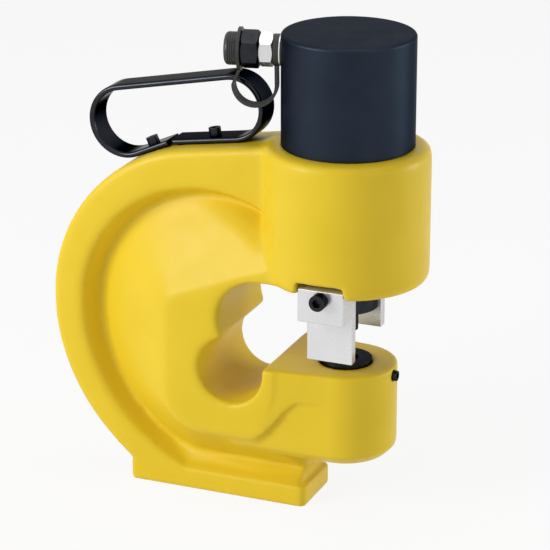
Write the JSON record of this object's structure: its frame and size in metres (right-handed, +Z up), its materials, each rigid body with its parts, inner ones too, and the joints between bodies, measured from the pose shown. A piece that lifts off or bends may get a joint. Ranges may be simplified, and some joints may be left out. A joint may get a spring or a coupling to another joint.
{
  "type": "hydraulic_hole_punch",
  "caption": "Portable hydraulic hole punch with a yellow cast C-frame, black ram cylinder, steel strippers, die, carry handle and capped quick coupler",
  "frame": {"origin": "middle of the foot's underside", "axes": "+X from the back of the frame to the punch axis, +Y to the rear side, +Z up along the punch axis"},
  "size_m": [0.313, 0.131, 0.3935],
  "materials": {
    "frame_paint": "gloss enamel over a casting",
    "cap_black": "satin blue-black",
    "bright_steel": "ground, bright",
    "oxide_steel": "black oxide",
    "bush_bronze": "turned",
    "handle_black": "satin black coating",
    "black_rubber": "matt",
    "cap_plastic": "moulded black",
    "seal_plastic": "filled seal plastic"
  },
  "bodies": {
    "frame": {"c_frame": "frame_paint", "cylinder_cap": "cap_black", "ram_guide_bush": "bush_bronze", "rod_wiper": "black_rubber", "die": "oxide_steel", "die_lock_screw": "oxide_steel", "carry_handle": "handle_black", "handle_screws": "oxide_steel", "coupler_adapter": "bright_steel", "coupler_seal": "black_rubber", "coupler_body": "oxide_steel", "return_spring": "bright_steel", "coupler_spring": "bright_steel", "dust_cap_tether": "black_rubber"},
    "ram": {"ram": "bright_steel", "piston_seal": "black_rubber", "piston_backup_ring": "seal_plastic", "piston_wear_ring": "seal_plastic", "punch_nut": "oxide_steel", "punch": "oxide_steel"},
    "stripper_front": {"stripper_front": "bright_steel", "stripper_front_screw": "oxide_steel"},
    "stripper_rear": {"stripper_rear": "bright_steel", "stripper_rear_screw": "oxide_steel"},
    "coupler_poppet": {"coupler_poppet": "bright_steel"},
    "dust_cap": {"dust_cap": "cap_plastic"}
  },
  "joints": [
    {"name": "ram_stroke", "type": "slide", "parent": "frame", "child": "ram", "axis": [0, 0, -1], "range_m": [0, 0.03], "stiffness_N_per_m": 6000, "springref_m": -0.03, "deforming": ["return_spring"]},
    {"name": "stripper_front_height", "type": "slide", "parent": "frame", "child": "stripper_front", "axis": [0, 0, 1], "range_m": [-0.005, 0.003]},
    {"name": "stripper_rear_height", "type": "slide", "parent": "frame", "child": "stripper_rear", "axis": [0, 0, 1], "range_m": [-0.009, 0.003]},
    {"name": "coupler_valve", "type": "slide", "parent": "frame", "child": "coupler_poppet", "axis": [0.9703, 0.2419, 0], "range_m": [0, 0.003], "stiffness_N_per_m": 1500, "springref_m": -0.004, "deforming": ["coupler_spring"]},
    {"name": "dust_cap_pull", "type": "slide", "parent": "frame", "child": "dust_cap", "axis": [-0.9703, -0.2419, 0], "range_m": [0, 0.014], "deforming": ["dust_cap_tether"]}
  ]
}
